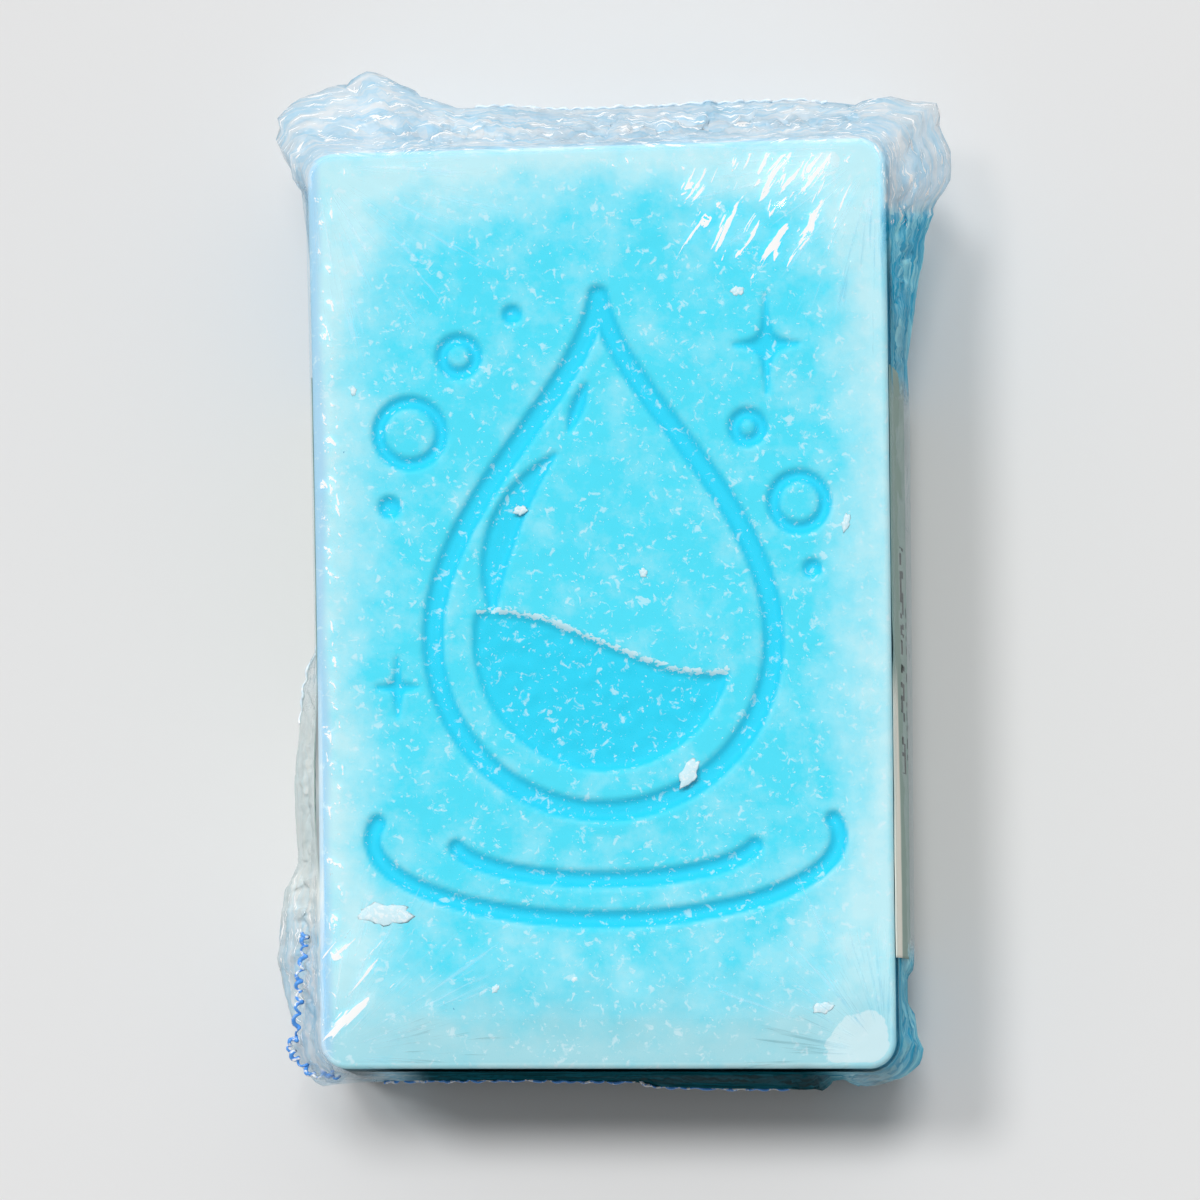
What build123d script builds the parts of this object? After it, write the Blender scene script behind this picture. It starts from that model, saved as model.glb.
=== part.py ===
"""A moulded detailing clay bar in its shop wrap: the bar, its wrap-round paper label and the shrunk film round both.

Frame: millimetres, +Z up, the bar lying on its back with the engraved face up, +Y along the bar's length.
The origin is the centre of the face that it rests on, the underside of the film.
"""

from build123d import *
import math
import os

# Driving dimensions of the moulded bar
FACE_WIDTH = 64.0
FACE_LENGTH = 102.8
BAR_THICKNESS = 25.0
DRAFT = 2.0  # degrees, each side: the bar widens from the engraved face to its poured back
PLAN_CORNER_RADIUS = 3.0  # at the engraved face; the drafted back corner is wider by BACK_CORNER_GROWTH
BACK_CORNER_GROWTH = 0.9
FACE_EDGE_RADIUS = 1.2
BACK_EDGE_RADIUS = 0.9

# Wrapping, measured outwards from the bar's surface
LABEL_GAP = 0.03
LABEL_THICKNESS = 0.14
FILM_GAP = 0.25
FILM_THICKNESS = 0.12
FILM_SKIN = FILM_GAP + FILM_THICKNESS

BACK_Z = FILM_SKIN
FACE_Z = BACK_Z + BAR_THICKNESS
SEAM_Z = BACK_Z + 0.5 * BAR_THICKNESS
TAPER = math.tan(math.radians(DRAFT))

# Label band: wraps the back and both long sides
LABEL_LOW_Y = -39.3
LABEL_HIGH_Y = 26.2
LABEL_TOP_Z = FACE_Z - 1.6
LABEL_SLANT = 2.6  # its upper end lies askew by this much over the height of the right flap
LABEL_SLANT_FOOT_Z = BACK_Z + 2.0

# Film: fold on +X, welds on the other three sides, loose overhang past the +Y end
OVERHANG = 5.5
RIDGE_HEIGHT = 1.2  # height of the loose ridge's outer edge
LOOSE_ROOT = 4.0  # how far the loose part reaches back into the tight wrap
LOOSE_INSET = 1.5  # it starts this far inside the bar's edges, past their rounding
WELD_RADIUS = 0.35
WELD_CLEARANCE = 0.05
WELDS = [  # which edge, and where along it the bead starts and ends
    ("left", -12.5, 34.0),
    ("front", -26.0, 20.0),
    ("back", -15.5, 26.0),
]
EAR_CLEARANCE = 0.04

# Engraving
GROOVE_DEPTH = 0.8
RECESS_DEPTH = 0.7
OUTLINE_WIDTH = 2.0
RIPPLE_WIDTH = 1.5
BUBBLE_WIDTH = 1.1

# Loose flakes of clay on the face
FLAKE_THICKNESS = 0.14
FLAKE_LIFT = 0.04

os.makedirs("parts", exist_ok=True)


def save(shape, node):
    shape.label = node
    export_step(shape, f"parts/{node}.step")


def envelope(skin):
    """The bar's drafted, rounded block, grown outwards by skin on every side."""
    height = BAR_THICKNESS + 2 * skin
    grow = 2 * (BAR_THICKNESS + skin) * TAPER + 2 * skin
    back = RectangleRounded(FACE_WIDTH + grow, FACE_LENGTH + grow, PLAN_CORNER_RADIUS + BACK_CORNER_GROWTH + skin)
    block = Pos(0, 0, BACK_Z - skin) * extrude(back, amount=height, taper=DRAFT)
    block = fillet(block.faces().sort_by(Axis.Z)[-1].edges(), FACE_EDGE_RADIUS + skin)
    return fillet(block.faces().sort_by(Axis.Z)[0].edges(), BACK_EDGE_RADIUS + skin)


# --- Engraved design: a water drop over ripples, with bubbles and a glint -------------------------------------

DROP_CENTRE_Y = -4.0
DROP_RADIUS = 19.0
DROP_TIP_Y = 34.5
SURFACE_INSET = 4.6


def drop(inset):
    """A drop's outline as a face: a half circle below, and two curves that rise to the tip."""
    radius = DROP_RADIUS - inset
    tip = (0, DROP_TIP_Y - 2.1 * inset)
    right, left = (radius, DROP_CENTRE_Y), (-radius, DROP_CENTRE_Y)
    rise = DROP_TIP_Y - DROP_CENTRE_Y - 2.1 * inset
    outline = [
        Bezier(tip, (0.1 * radius, tip[1] - 0.30 * rise), (radius, DROP_CENTRE_Y + 0.40 * rise), right),
        ThreePointArc(right, (0, DROP_CENTRE_Y - radius), left),
        Bezier(left, (-radius, DROP_CENTRE_Y + 0.40 * rise), (-0.1 * radius, tip[1] - 0.30 * rise), tip),
    ]
    return make_face(Wire(outline))


def water_below_surface():
    """The part of the inner drop that lies below a wavy water line."""
    reach = DROP_RADIUS + 1
    deep = DROP_CENTRE_Y - DROP_RADIUS - 2
    left, right = (-reach, DROP_CENTRE_Y + 1.0), (reach, DROP_CENTRE_Y - 1.5)
    wave = Bezier(left, (-0.30 * reach, DROP_CENTRE_Y + 9.5), (0.30 * reach, DROP_CENTRE_Y - 11.0), right)
    below = make_face(Wire([wave, *Polyline(right, (reach, deep), (-reach, deep), left).edges()]))
    return drop(SURFACE_INSET) & below


def crescent(start, outer_middle, inner_middle, end):
    """A stroke with pointed ends, between two arcs that share their end points."""
    return make_face(Wire([ThreePointArc(start, outer_middle, end), ThreePointArc(end, inner_middle, start)]))


def ring(x, y, radius, width):
    return Pos(x, y) * (Circle(radius + width / 2) - Circle(radius - width / 2))


def ripple(half_width, half_height, centre_y, start, end, width):
    """Part of an elliptical ripple, drawn as a stroke from one angle to the other."""
    curve = EllipticalCenterArc((0, centre_y), half_width, half_height, start_angle=start, arc_size=end - start)
    return trace(curve, line_width=width)


def glint(x, y, half_width, half_height):
    """A four-pointed star with hollow sides."""
    tips = [(half_width, 0), (0, half_height), (-half_width, 0), (0, -half_height)]
    sides = []
    for tip, after in zip(tips, tips[1:] + tips[:1]):
        hollow = (0.12 * (tip[0] + after[0]), 0.12 * (tip[1] + after[1]))
        sides.append(Bezier(tip, hollow, after))
    return Pos(x, y) * make_face(Wire(sides))


RIPPLES = [  # half width, half height, first and last angle
    (26.0, 9.0, 168, 372),
    (17.0, 4.6, 192, 348),
]
RIPPLE_CENTRE_Y = -26.0
BUBBLES = [  # x, y, radius
    (-21.2, 19.5, 3.5),
    (-15.6, 28.0, 1.9),
    (22.0, 11.0, 2.9),
    (16.4, 19.4, 1.5),
]
BEADS = [(-23.6, 11.2, 1.1), (23.4, 3.6, 0.9), (-9.6, 32.6, 0.9)]  # small solid dots
GLINTS = [(18.6, 28.6, 3.6, 5.4), (-23.0, -9.0, 2.2, 3.2)]  # x, y, half width, half height


def engraving():
    """(sketch, depth) for each cut into the face."""
    outline = drop(-OUTLINE_WIDTH / 2) - drop(OUTLINE_WIDTH / 2)
    yield outline, GROOVE_DEPTH
    yield water_below_surface(), RECESS_DEPTH
    yield crescent((-12.2, -1.5), (-12.6, 8.6), (-9.6, 7.6), (-5.0, 16.8)), GROOVE_DEPTH
    yield crescent((-3.4, 19.4), (-3.0, 22.4), (-1.9, 21.9), (-1.4, 24.6)), GROOVE_DEPTH
    for half_width, half_height, start, end in RIPPLES:
        yield ripple(half_width, half_height, RIPPLE_CENTRE_Y, start, end, RIPPLE_WIDTH), GROOVE_DEPTH
    for x, y, radius in BUBBLES:
        yield ring(x, y, radius, BUBBLE_WIDTH), GROOVE_DEPTH
    for x, y, radius in BEADS:
        yield Pos(x, y) * Circle(radius), GROOVE_DEPTH
    for x, y, half_width, half_height in GLINTS:
        yield glint(x, y, half_width, half_height), RECESS_DEPTH


def clay_bar():
    bar = envelope(0)
    for sketch, depth in engraving():
        bar -= Pos(0, 0, FACE_Z - depth) * extrude(sketch, amount=depth + 1)
    return bar


# --- Label ---
def paper_label():
    """A band of paper, folded up both long sides, with the right flap's upper end askew."""
    band = envelope(LABEL_GAP + LABEL_THICKNESS) - envelope(LABEL_GAP)
    middle = (LABEL_HIGH_Y + LABEL_LOW_Y) / 2
    below = 10  # the cutting box reaches past the label's underside
    window = Box(2 * FACE_WIDTH, LABEL_HIGH_Y - LABEL_LOW_Y, LABEL_TOP_Z + below)
    band &= Pos(0, middle, (LABEL_TOP_Z - below) / 2) * window
    foot, top = LABEL_HIGH_Y - LABEL_SLANT, LABEL_HIGH_Y
    past = LABEL_HIGH_Y + LABEL_SLANT
    corner = Polyline(
        (foot, LABEL_SLANT_FOOT_Z), (top, LABEL_TOP_Z), (past, LABEL_TOP_Z), (past, 0), (foot, 0), close=True
    )
    askew = extrude(Plane.YZ.offset(FACE_WIDTH / 2) * make_face(corner), amount=LABEL_SLANT)
    return band - askew

# --- Film ---
def film_body(skin):
    """The closed outer shape of the film: tight on the bar, with a loose ridge past the +Y end."""
    end_face = FACE_LENGTH / 2 + skin
    end_back = end_face + BAR_THICKNESS * TAPER
    ridge = end_face + OVERHANG
    root = FACE_LENGTH / 2 - LOOSE_ROOT
    top, bottom = FACE_Z + skin - LOOSE_INSET, BACK_Z - skin + LOOSE_INSET
    section = Polyline(
        (root, top),
        (end_face - LOOSE_INSET, top),
        (ridge, SEAM_Z + RIDGE_HEIGHT / 2),
        (ridge, SEAM_Z - RIDGE_HEIGHT / 2),
        (end_back - LOOSE_INSET, bottom),
        (root, bottom),
        close=True,
    )
    half = FACE_WIDTH / 2 + skin - LOOSE_INSET
    loose = extrude(Plane.YZ.offset(-half) * make_face(section), amount=2 * half)
    return envelope(skin) + loose

def film_webs():
    """The film's upper and lower web, which meet at mid height."""
    shell = film_body(FILM_SKIN) - film_body(FILM_GAP)
    big = 4 * FACE_LENGTH
    upper = shell & (Pos(0, 0, SEAM_Z + big / 2) * Box(big, big, big))
    lower = shell & (Pos(0, 0, SEAM_Z - big / 2) * Box(big, big, big))
    return upper, lower


def weld_beads():
    """The three welds as round beads of melted film at mid height, each between two gathered corners."""
    out = FILM_SKIN + WELD_RADIUS + WELD_CLEARANCE + (FACE_Z - SEAM_Z) * TAPER
    beads = []
    for edge, start, end in WELDS:
        middle = (start + end) / 2
        rod = Cylinder(WELD_RADIUS, end - start)
        if edge == "left":
            beads.append(Pos(-FACE_WIDTH / 2 - out, middle, SEAM_Z) * Rot(90, 0, 0) * rod)
        elif edge == "front":
            beads.append(Pos(middle, -FACE_LENGTH / 2 - out, SEAM_Z) * Rot(0, 90, 0) * rod)
        else:
            y = FACE_LENGTH / 2 + FILM_SKIN + OVERHANG + WELD_RADIUS + WELD_CLEARANCE
            beads.append(Pos(middle, y, SEAM_Z) * Rot(0, 90, 0) * rod)
    return Compound(beads)


def gusset(rim):
    """A closed solid over a plan outline: each rim point is (x, y, lowest z, highest z), the first on the wall."""
    tops = [Vector(x, y, high) for x, y, low, high in rim]
    backs = [Vector(x, y, low) for x, y, low, high in rim]
    count = len(rim)
    faces = []
    for i in range(1, count - 1):
        faces.append(Face(Wire.make_polygon([tops[0], tops[i], tops[i + 1]], close=True)))
        faces.append(Face(Wire.make_polygon([backs[0], backs[i + 1], backs[i]], close=True)))
    for i in range(count):
        j = (i + 1) % count
        faces.append(Face(Wire.make_polygon([tops[i], backs[i], backs[j], tops[j]], close=True)))
    return Solid(Shell(faces))


# Plan outline of each gathered corner, as (x, y, lowest z, highest z)
EARS = {
    "film_ear_back_left": [
        (-30.0, 50.0, 5.0, 22.0),
        (-16.5, 56.6, 10.5, 14.0),
        (-26.7, 61.7, 10.0, 13.5),
        (-36.6, 57.6, 9.5, 14.5),
        (-37.8, 53.6, 9.0, 15.5),
        (-33.6, 36.0, 8.0, 17.0),
    ],
    "film_ear_back_right": [
        (30.0, 50.0, 5.0, 22.0),
        (33.5, 31.0, 8.0, 17.0),
        (36.2, 44.0, 9.0, 16.0),
        (38.5, 50.4, 9.0, 15.5),
        (37.1, 57.4, 10.0, 14.0),
        (27.5, 57.6, 10.5, 14.0),
    ],
    "film_ear_front_right": [
        (30.0, -49.0, 5.0, 21.0),
        (20.6, -53.0, 9.5, 15.0),
        (28.0, -53.4, 10.0, 14.0),
        (33.4, -51.8, 10.0, 14.0),
        (34.6, -49.2, 10.0, 14.5),
        (33.3, -41.0, 9.0, 16.0),
    ],
    "film_ear_front_left": [
        (-30.0, -49.0, 5.0, 21.0),
        (-33.2, -14.0, 10.5, 15.0),
        (-35.2, -24.0, 10.5, 14.0),
        (-37.1, -38.8, 10.0, 13.5),
        (-35.4, -49.4, 10.0, 14.0),
        (-32.0, -53.2, 10.0, 14.0),
        (-27.0, -52.6, 9.0, 16.0),
    ],
}

# --- Loose flakes ----------------------------------------------------------------------------------------------

FLAKES = [  # x, y, length, width, turn
    (-24.6, -34.3, 5.4, 2.7, 3),
    (15.5, 34.6, 1.3, 1.2, 5),
    (-12.4, -42.6, 1.1, 0.7, 70),
    (9.4, -18.9, 3.6, 1.7, 52),
    (27.2, 8.6, 1.8, 1.0, 75),
    (-9.0, 10.6, 1.5, 1.1, 30),
    (4.6, 3.4, 1.2, 0.8, 120),
    (-27.4, 24.4, 1.2, 0.6, 100),
    (-3.6, -41.6, 0.9, 0.6, 15),
    (24.0, -44.8, 2.2, 1.3, 20),
]


def flake(x, y, length, width, turn):
    """A thin chip with an uneven outline: a pulled-out circle whose corners lie in and out in turn."""
    sides = 9
    rim = []
    for i in range(sides):
        angle = 2 * math.pi * i / sides
        reach = 0.5 * (1 + 0.16 * math.sin(3 * angle + turn) + 0.10 * math.cos(5 * angle - turn))
        rim.append((length * reach * math.cos(angle), width * reach * math.sin(angle)))
    chip = extrude(make_face(Polyline(*rim, close=True)), amount=FLAKE_THICKNESS)
    return Pos(x, y, FACE_Z + FLAKE_LIFT) * Rot(0, 0, turn) * chip


save(clay_bar(), "clay_bar")
save(paper_label(), "paper_label")
upper_web, lower_web = film_webs()
save(upper_web, "film_upper_web")
save(lower_web, "film_lower_web")
save(weld_beads(), "film_weld_beads")
keep_out = film_body(FILM_SKIN + EAR_CLEARANCE)
for name, rim in EARS.items():
    save(gusset(rim) - keep_out, name)
save(Compound([flake(*place) for place in FLAKES]), "clay_flakes")
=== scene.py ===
"""A moulded detailing clay bar in its shop wrap, on a plain pale table, under one soft key light.

Metres, +Z up: the bar lies on its back, its engraved face up, +Y along its length.
"""
import math

import bpy
import numpy as np
from mathutils import Matrix, Vector


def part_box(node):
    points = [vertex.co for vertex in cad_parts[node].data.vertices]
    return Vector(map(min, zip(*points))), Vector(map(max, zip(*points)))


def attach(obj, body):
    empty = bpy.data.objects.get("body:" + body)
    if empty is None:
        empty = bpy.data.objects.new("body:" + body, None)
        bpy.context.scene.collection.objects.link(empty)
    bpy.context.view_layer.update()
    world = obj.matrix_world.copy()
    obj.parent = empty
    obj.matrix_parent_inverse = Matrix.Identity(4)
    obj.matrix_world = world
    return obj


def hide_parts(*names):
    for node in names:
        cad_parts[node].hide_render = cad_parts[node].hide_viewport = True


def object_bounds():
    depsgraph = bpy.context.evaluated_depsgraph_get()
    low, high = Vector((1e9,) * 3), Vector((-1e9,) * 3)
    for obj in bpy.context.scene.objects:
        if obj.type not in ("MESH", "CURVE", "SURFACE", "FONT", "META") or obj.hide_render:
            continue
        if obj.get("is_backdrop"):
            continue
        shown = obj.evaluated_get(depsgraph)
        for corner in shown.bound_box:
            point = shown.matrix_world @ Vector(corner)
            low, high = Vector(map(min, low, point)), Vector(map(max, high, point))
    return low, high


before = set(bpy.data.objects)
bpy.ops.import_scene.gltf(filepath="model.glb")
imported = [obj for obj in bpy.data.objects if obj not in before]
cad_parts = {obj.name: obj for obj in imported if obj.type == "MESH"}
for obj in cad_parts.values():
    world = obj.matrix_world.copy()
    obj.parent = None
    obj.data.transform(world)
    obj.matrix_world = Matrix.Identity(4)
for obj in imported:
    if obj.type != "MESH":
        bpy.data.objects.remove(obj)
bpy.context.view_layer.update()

MM = 0.001


# --- Camera ---
# A short telephoto lens above the bar, leaning a few degrees towards its right and front.
face_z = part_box("clay_bar")[1].z
back_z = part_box("clay_bar")[0].z
lean_right, lean_front, roll = math.radians(3.39), math.radians(4.61), math.radians(-0.26)
camera_reach = 0.700
toward_camera = Vector((math.tan(lean_right), -math.tan(lean_front), 1.0)).normalized()
eye = Vector((0, 0, face_z)) + toward_camera * camera_reach
aim = Vector((-0.34 * MM, 0.59 * MM, face_z))
back_axis = (eye - aim).normalized()
up_axis = Vector((-math.sin(roll), math.cos(roll), 0))
right_axis = up_axis.cross(back_axis).normalized()
up_axis = back_axis.cross(right_axis)
camera = bpy.data.objects.new("camera", bpy.data.cameras.new("camera"))
camera.matrix_world = Matrix((right_axis, up_axis, back_axis)).transposed().to_4x4()
camera.matrix_world.translation = eye
camera.data.sensor_width = 36.0
camera.data.lens = 189.2
camera.data.clip_start, camera.data.clip_end = 0.01, 50.0
bpy.context.scene.collection.objects.link(camera)
bpy.context.scene.camera = camera
bpy.context.scene.view_settings.view_transform = "Standard"
bpy.context.scene.cycles.transparent_max_bounces = 24


# --- Light ---
# One key lamp, high on the left and behind, a broad soft one from behind, and a dim room all round.
def sun(name, azimuth, elevation, spread, strength, colour):
    """A far lamp: azimuth runs counter-clockwise from +X, spread is how wide it looks, in degrees."""
    lamp = bpy.data.lights.new(name, "SUN")
    lamp.energy, lamp.angle, lamp.color = strength, math.radians(spread), colour
    holder = bpy.data.objects.new(name, lamp)
    a, e = math.radians(azimuth), math.radians(elevation)
    source = Vector((math.cos(a) * math.cos(e), math.sin(a) * math.cos(e), math.sin(e)))
    holder.rotation_euler = source.to_track_quat("Z", "Y").to_euler()
    bpy.context.scene.collection.objects.link(holder)


sun("key", 145, 60, 12, 1.06, (1.0, 1.0, 1.0))
sun("back_fill", 94, 70, 14, 1.06, (1.0, 1.0, 1.0))
room = bpy.data.worlds.new("room")
room.use_nodes = True
room_nodes, room_links = room.node_tree.nodes, room.node_tree.links
sight = room_nodes.new("ShaderNodeTexCoord")
parts = room_nodes.new("ShaderNodeSeparateXYZ")
brighter_behind = room_nodes.new("ShaderNodeMapRange")
for socket, value in (("From Min", -1.0), ("From Max", 1.0), ("To Min", 0.10), ("To Max", 0.62)):
    brighter_behind.inputs[socket].default_value = value
room_links.new(sight.outputs["Generated"], parts.inputs["Vector"])
room_links.new(parts.outputs["Y"], brighter_behind.inputs["Value"])
room_links.new(brighter_behind.outputs["Result"], room_nodes["Background"].inputs["Strength"])
room_nodes["Background"].inputs["Color"].default_value = (1, 1, 1, 1)
bpy.context.scene.world = room


# --- Table ---
# A plain pale sheet of card, far wider than the view.
def mesh_piece(name, vertices, faces, smooth=True):
    """An object at the origin from an array of points and a list of faces."""
    mesh = bpy.data.meshes.new(name)
    mesh.from_pydata(np.asarray(vertices, dtype=float).tolist(), [], faces)
    mesh.polygons.foreach_set("use_smooth", np.full(len(mesh.polygons), smooth))
    mesh.update()
    piece = bpy.data.objects.new(name, mesh)
    bpy.context.scene.collection.objects.link(piece)
    return piece


class Finish:
    """A material's node tree with short ways to add and join nodes."""

    def __init__(self, name):
        self.material = bpy.data.materials.new(name)
        self.material.use_nodes = True
        self.tree = self.material.node_tree
        self.shader = self.tree.nodes["Principled BSDF"]
        self.output = self.tree.nodes["Material Output"]

    def add(self, kind, **settings):
        node = self.tree.nodes.new(kind)
        for key, value in settings.items():
            setattr(node, key, value)
        return node

    def set(self, node, **values):
        for key, value in values.items():
            node.inputs[key.replace("_", " ")].default_value = value
        return node

    def join(self, source, target):
        self.tree.links.new(source, target)

    def maths(self, operation, *values):
        """A sum of two or three values, each a number or another node's output."""
        node = self.add("ShaderNodeMath", operation=operation)
        for slot, value in enumerate(values):
            if isinstance(value, (int, float)):
                node.inputs[slot].default_value = value
            else:
                self.join(value, node.inputs[slot])
        return node.outputs["Value"]

    def read(self, name, kind="Fac"):
        """What a piece's own stored numbers say at each point."""
        return self.add("ShaderNodeAttribute", attribute_name=name).outputs[kind]

    def space(self, sizes, lean=0.0, source=None, shift=0.0):
        """Coordinates measured in leaning cells of the given sizes, in metres."""
        node = self.add("ShaderNodeMapping", vector_type="TEXTURE")
        node.inputs["Scale"].default_value = sizes
        node.inputs["Rotation"].default_value = (0, 0, math.radians(lean))
        node.inputs["Location"].default_value = (shift, shift, 0)
        self.join(source or self.add("ShaderNodeTexCoord").outputs["Object"], node.inputs["Vector"])
        return node.outputs["Vector"]

    def blend(self, factor, low, high):
        """A colour between two, each a plain colour or another node's output."""
        node = self.add("ShaderNodeMix", data_type="RGBA")
        for socket, value in (("Factor", factor), ("A", low), ("B", high)):
            if isinstance(value, tuple) or isinstance(value, float):
                node.inputs[socket].default_value = value
            else:
                self.join(value, node.inputs[socket])
        return node.outputs["Result"]

    def flecks(self, vector, weight, threshold, softness=0.03, bend=0.5):
        """Scattered flecks: where uneven noise, less the missing weight, rises over a threshold."""
        node = self.add("ShaderNodeGroup", node_tree=fleck_mask)
        for title, value in (("Threshold", threshold), ("Softness", softness), ("Bend", bend)):
            node.inputs[title].default_value = value
        self.join(vector, node.inputs["Vector"])
        if isinstance(weight, (int, float)):
            node.inputs["Weight"].default_value = weight
        else:
            self.join(weight, node.inputs["Weight"])
        return node.outputs["Mask"]


fleck_mask = bpy.data.node_groups.new("fleck_mask", "ShaderNodeTree")
for title, kind in (("Vector", "NodeSocketVector"), ("Weight", "NodeSocketFloat"), ("Threshold", "NodeSocketFloat"), ("Softness", "NodeSocketFloat"),
                    ("Bend", "NodeSocketFloat")):
    fleck_mask.interface.new_socket(title, in_out="INPUT", socket_type=kind)
fleck_mask.interface.new_socket("Mask", in_out="OUTPUT", socket_type="NodeSocketFloat")
group_in, group_out = fleck_mask.nodes.new("NodeGroupInput"), fleck_mask.nodes.new("NodeGroupOutput")
fleck_noise = fleck_mask.nodes.new("ShaderNodeTexNoise")
for title, value in (("Scale", 1.0), ("Detail", 4.0), ("Roughness", 0.6)):
    fleck_noise.inputs[title].default_value = value
shortfall, lowered, top_level, cutoff = (fleck_mask.nodes.new(kind) for kind in ("ShaderNodeMath", "ShaderNodeMath", "ShaderNodeMath", "ShaderNodeMapRange"))
shortfall.operation, lowered.operation, top_level.operation = "MULTIPLY_ADD", "ADD", "ADD"
shortfall.inputs[1].default_value, shortfall.inputs[2].default_value = 0.5, -0.5
cutoff.interpolation_type = "SMOOTHSTEP"
for source, target in (
    (group_in.outputs["Vector"], fleck_noise.inputs["Vector"]),
    (group_in.outputs["Bend"], fleck_noise.inputs["Distortion"]),
    (group_in.outputs["Weight"], shortfall.inputs[0]),
    (fleck_noise.outputs["Fac"], lowered.inputs[0]),
    (shortfall.outputs["Value"], lowered.inputs[1]),
    (group_in.outputs["Threshold"], top_level.inputs[0]),
    (group_in.outputs["Softness"], top_level.inputs[1]),
    (lowered.outputs["Value"], cutoff.inputs["Value"]),
    (group_in.outputs["Threshold"], cutoff.inputs["From Min"]),
    (top_level.outputs["Value"], cutoff.inputs["From Max"]),
    (cutoff.outputs["Result"], group_out.inputs["Mask"]),
):
    fleck_mask.links.new(source, target)

table_finish = Finish("pale_card")
table_finish.set(table_finish.shader, Base_Color=(0.8, 0.8, 0.8, 1), Roughness=0.9)
table_finish.set(table_finish.shader, Specular_IOR_Level=0.0)
reach = 3.0
table = mesh_piece("table", [(-reach, -reach, 0), (reach, -reach, 0), (reach, reach, 0), (-reach, reach, 0)], [(0, 1, 2, 3)])
table.data.materials.append(table_finish.material)
table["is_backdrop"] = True


# --- Clay bar ---
# One block of poured detailing clay: it leaves the mould by its drafted sides, engraved face up.
# The clay is slightly milky towards its edges and clear, strong cyan in the cuts.
face_half = np.array([32.0, 51.4]) * MM
draft = math.radians(2.0)
face_round, back_round = 0.7 * MM, 0.9 * MM
plan_round = 3.0 * MM
grid_step = 0.32 * MM


def plan_grid(half, corner, step, columns=None, rows=None):
    """A rounded rectangle's plan as a grid: even rows and columns, and in each corner square the elliptical
    map p sqrt(1 - q²/2), q sqrt(1 - p²/2), which carries the square onto a quarter disc."""
    columns = columns or 2 * int(round(half[0] / step)) + 1
    rows = rows or 2 * int(round(half[1] / step)) + 1
    x, y = np.meshgrid(np.linspace(-half[0], half[0], columns), np.linspace(-half[1], half[1], rows))
    p = np.clip((np.abs(x) - (half[0] - corner)) / corner, 0, 1)
    q = np.clip((np.abs(y) - (half[1] - corner)) / corner, 0, 1)
    in_corner = (p > 0) & (q > 0)
    core = half - corner
    round_x = np.sign(x) * (core[0] + corner * p * np.sqrt(1 - q**2 / 2))
    round_y = np.sign(y) * (core[1] + corner * q * np.sqrt(1 - p**2 / 2))
    return np.where(in_corner, round_x, x), np.where(in_corner, round_y, y)


def settled(points):
    """The block came out of its mould a little out of square: its left side and far end lean, by up to a
    millimetre. The shift is blended across the plan between each side's own straight or bent line."""
    u, v = points[:, 0] / face_half[0], points[:, 1] / face_half[1]
    u, v = np.clip(u, -1.15, 1.15), np.clip(v, -1.15, 1.15)
    left, right = -0.72 * v - 0.30 * v**2, -0.15 - 0.20 * v
    far, near = 0.15 + 0.53 * u, 0.145 - 0.145 * u
    shift = np.stack([left * (1 - u) + right * (1 + u), far * (1 + v) + near * (1 - v)], 1) / 2 * MM
    moved = np.array(points, dtype=float)
    moved[:, :2] += shift
    return moved


def grid_rim(rows, columns):
    """Indices of a grid's outermost points, counter-clockwise from its first corner."""
    index = np.arange(rows * columns).reshape(rows, columns)
    return np.concatenate([index[0, :-1], index[:-1, -1], index[-1, :0:-1], index[:0:-1, 0]])


def outward(points, half, corner):
    """The plan direction that leads straight out of a rounded rectangle at each of its rim's points."""
    core = half - corner
    away = points - np.clip(points, -core, core)
    return away / np.linalg.norm(away, axis=1)[:, None]


def capped_block(name, top, rings, centre_rings=6, centre_drop=None):
    """A closed skin: a grid for the top, rings of points that hang from its rim, and a floor of shrunk
    rings closed by one face. Points run as whole arrays; faces are four neighbours each."""
    rows, columns = top.shape[:2]
    index = np.arange(rows * columns).reshape(rows, columns)
    quads = [np.stack([index[:-1, :-1], index[:-1, 1:], index[1:, 1:], index[1:, :-1]], -1).reshape(-1, 4)]
    rim = grid_rim(rows, columns)
    count = len(rim)
    last = rings[-1]
    shrink = np.linspace(1, 0, centre_rings + 2)[1:-1]
    floor = [last * [s, s, 1] for s in shrink]
    vertices = settled(np.concatenate([top.reshape(-1, 3), *rings, *floor]))
    above = rim
    start = rows * columns
    for _ in [*rings, *floor]:
        below = start + np.arange(count)
        quads.append(np.stack([above, below, np.roll(below, -1), np.roll(above, -1)], 1))
        above, start = below, start + count
    faces = np.concatenate(quads).tolist() + [above[::-1].tolist()]
    return mesh_piece(name, vertices, faces)


def smooth(low, high, value):
    """A soft step from 0 to 1 between low and high."""
    t = np.clip((value - low) / (high - low), 0, 1)
    return t * t * (3 - 2 * t)


def swell(x, y, size, seed, waves=14):
    """Soft uneven ground from -1 to 1: sine waves of about one size, in random directions, added up."""
    draw = np.random.default_rng(seed)
    total = np.zeros_like(x)
    for _ in range(waves):
        angle, phase = draw.uniform(0, 2 * np.pi, 2)
        wave = 2 * np.pi / (size * draw.uniform(0.7, 1.5))
        total += np.sin(wave * (x * np.cos(angle) + y * np.sin(angle)) + phase)
    return total / np.sqrt(waves) / 1.5


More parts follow.
